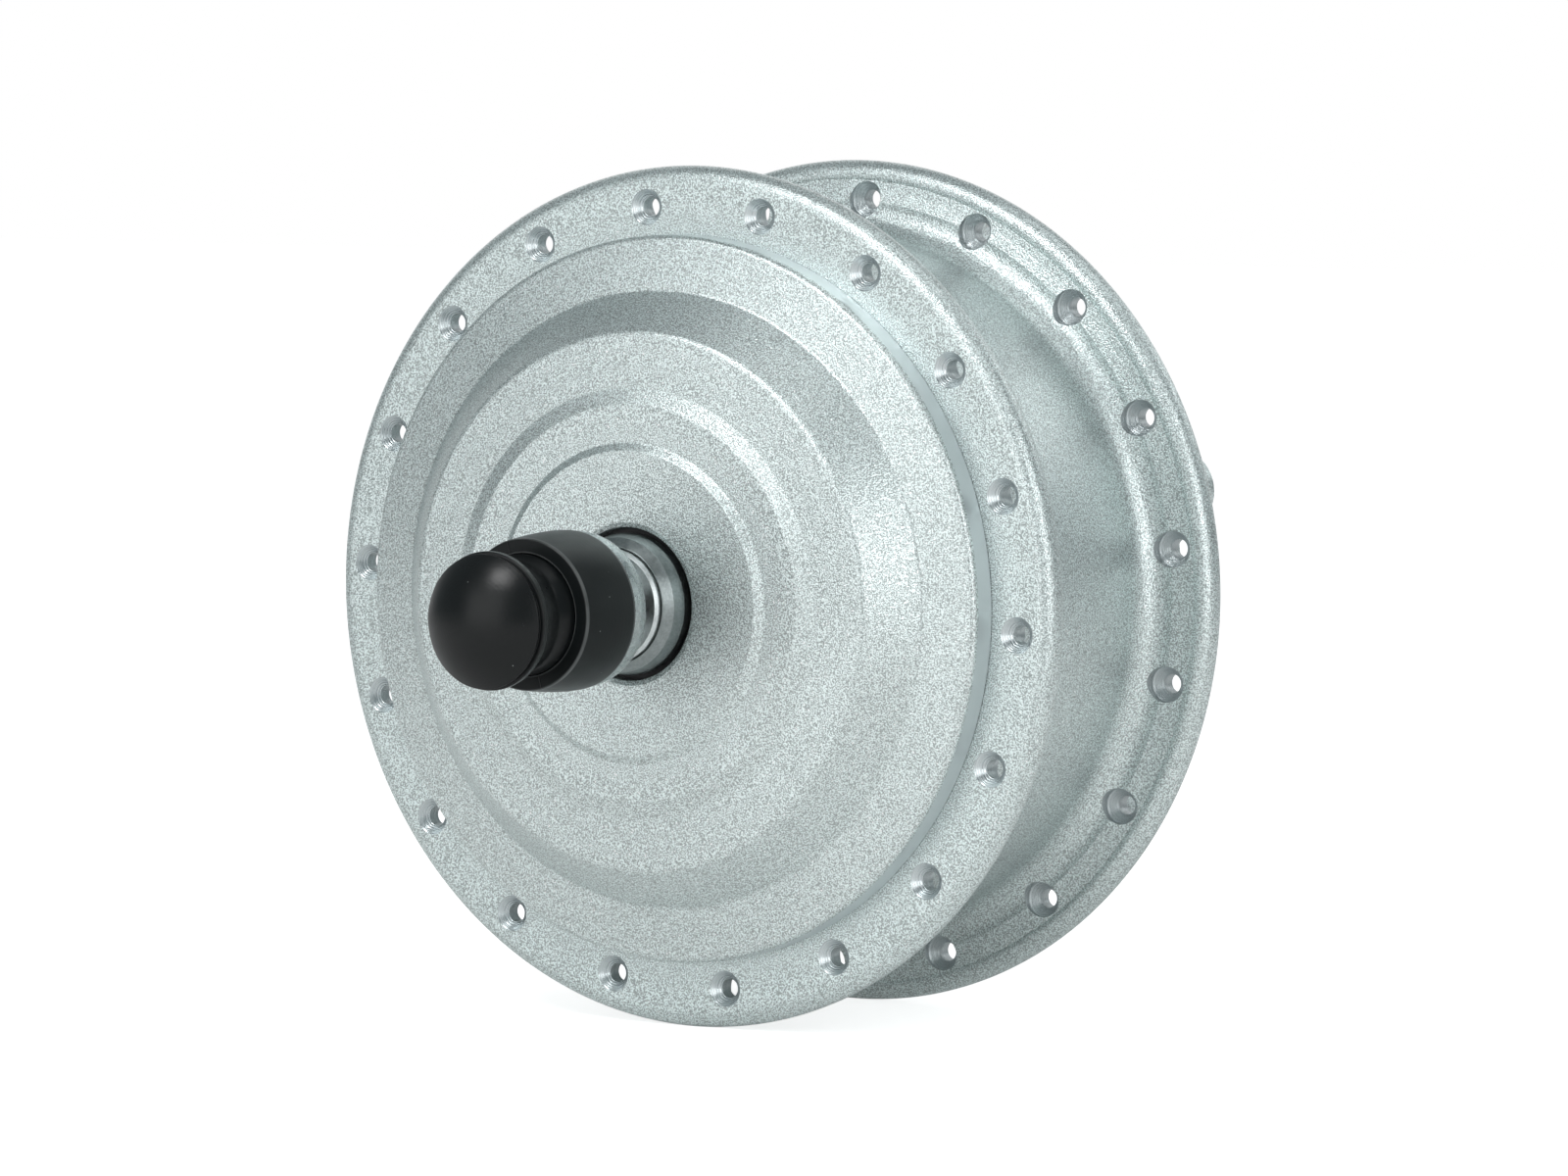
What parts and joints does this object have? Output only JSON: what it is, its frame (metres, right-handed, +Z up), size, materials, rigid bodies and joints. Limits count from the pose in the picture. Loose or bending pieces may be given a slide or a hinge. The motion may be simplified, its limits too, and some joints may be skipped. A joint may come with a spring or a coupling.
{
  "type": "geared hub motor",
  "caption": "Geared front hub motor with two drilled spoke flanges, a stepped plain cover, a disc-brake cover and a threaded axle under a black nut cap.",
  "frame": {"origin": "on the axle's centre line, halfway between the outer faces of the two spoke flanges", "axes": "+Y along the axle to the disc-brake side and the cable bore, +Z up, +X to the right seen from the plain cover"},
  "size_m": [0.1352, 0.166, 0.1352],
  "materials": {
    "painted_shell": "sand-textured silver paint",
    "painted_cover": "sand-textured silver paint",
    "bare_aluminium": "drilled, bare",
    "gasket_rubber": "matt",
    "zinc_steel": "bright zinc plate",
    "gear_steel": "hardened",
    "seal_rubber": "matt",
    "bearing_steel": "ground",
    "axle_steel": "zinc plated",
    "inner_aluminium": "cast",
    "core_steel": "laminated",
    "nylon": "moulded",
    "copper_wire": "enamelled",
    "board": "lacquered",
    "magnet": "coated",
    "bronze": "sintered",
    "cap_plastic": "satin",
    "plug_rubber": "satin"
  },
  "bodies": {
    "axle_set": {"axle": "axle_steel", "axle_key": "gear_steel", "left_collar": "zinc_steel", "right_collar": "zinc_steel", "left_inner_washer": "zinc_steel", "right_inner_washer": "zinc_steel", "left_outer_washer": "zinc_steel", "right_outer_washer": "zinc_steel", "left_axle_nut": "zinc_steel", "right_axle_nut": "zinc_steel", "left_bearing_inner": "bearing_steel", "right_bearing_inner": "bearing_steel", "rotor_bearing_inner": "bearing_steel", "clutch_race": "gear_steel", "clutch_rollers": "bearing_steel", "planet_carrier": "inner_aluminium", "planet_pins": "bearing_steel", "pin_clips": "gear_steel", "stator_hub": "inner_aluminium", "stator_core": "core_steel", "stator_insulators": "nylon", "stator_windings": "copper_wire", "hall_board": "board"},
    "shell": {"hub_shell": "painted_shell", "left_cover": "painted_cover", "right_cover": "painted_cover", "cover_gasket": "gasket_rubber", "cover_screws": "zinc_steel", "ring_gear": "gear_steel", "left_seal": "seal_rubber", "right_seal": "seal_rubber", "left_bearing_outer": "bearing_steel", "right_bearing_outer": "bearing_steel"},
    "rotor": {"rotor_hub": "inner_aluminium", "rotor_can": "core_steel", "rotor_magnets": "magnet", "sun_gear": "gear_steel", "rotor_bearing_outer": "bearing_steel"},
    "planet_1": {"planet_gear_1": "nylon", "planet_bush_1": "bronze"},
    "planet_2": {"planet_gear_2": "nylon", "planet_bush_2": "bronze"},
    "planet_3": {"planet_gear_3": "nylon", "planet_bush_3": "bronze"},
    "left_balls": {"left_bearing_balls": "bearing_steel"},
    "right_balls": {"right_bearing_balls": "bearing_steel"},
    "rotor_balls": {"rotor_bearing_balls": "bearing_steel"},
    "cap": {"nut_cap": "cap_plastic"},
    "plug": {"axle_plug": "plug_rubber"}
  },
  "joints": [
    {"name": "shell_spin", "type": "hinge", "parent": "axle_set", "child": "shell", "pos_m": [0, 0, 0], "axis": [0, 1, 0], "continuous": true},
    {"name": "rotor_spin", "type": "hinge", "parent": "axle_set", "child": "rotor", "pos_m": [0, 0, 0], "axis": [0, 1, 0], "continuous": true},
    {"name": "planet_1_spin", "type": "hinge", "parent": "axle_set", "child": "planet_1", "pos_m": [0, 0, 0.0255], "axis": [0, 1, 0], "continuous": true},
    {"name": "planet_2_spin", "type": "hinge", "parent": "axle_set", "child": "planet_2", "pos_m": [0.02208, 0, -0.01275], "axis": [0, 1, 0], "continuous": true},
    {"name": "planet_3_spin", "type": "hinge", "parent": "axle_set", "child": "planet_3", "pos_m": [-0.02208, 0, -0.01275], "axis": [0, 1, 0], "continuous": true},
    {"name": "left_balls_spin", "type": "hinge", "parent": "axle_set", "child": "left_balls", "pos_m": [0, 0, 0], "axis": [0, 1, 0], "continuous": true},
    {"name": "right_balls_spin", "type": "hinge", "parent": "axle_set", "child": "right_balls", "pos_m": [0, 0, 0], "axis": [0, 1, 0], "continuous": true},
    {"name": "rotor_balls_spin", "type": "hinge", "parent": "axle_set", "child": "rotor_balls", "pos_m": [0, 0, 0], "axis": [0, 1, 0], "continuous": true},
    {"name": "cap_slide", "type": "slide", "parent": "axle_set", "child": "cap", "axis": [0, -1, 0], "range_m": [0, 0.03]},
    {"name": "plug_slide", "type": "slide", "parent": "cap", "child": "plug", "axis": [0, -1, 0], "range_m": [0, 0.02]}
  ],
  "couplings": [
    {"joint": "rotor_spin", "follows": "shell_spin", "ratio": -4.6667},
    {"joint": "planet_1_spin", "follows": "shell_spin", "ratio": 2.5455},
    {"joint": "planet_2_spin", "follows": "shell_spin", "ratio": 2.5455},
    {"joint": "planet_3_spin", "follows": "shell_spin", "ratio": 2.5455},
    {"joint": "left_balls_spin", "follows": "shell_spin", "ratio": 0.616},
    {"joint": "right_balls_spin", "follows": "shell_spin", "ratio": 0.58767},
    {"joint": "rotor_balls_spin", "follows": "shell_spin", "ratio": -2.7844}
  ]
}
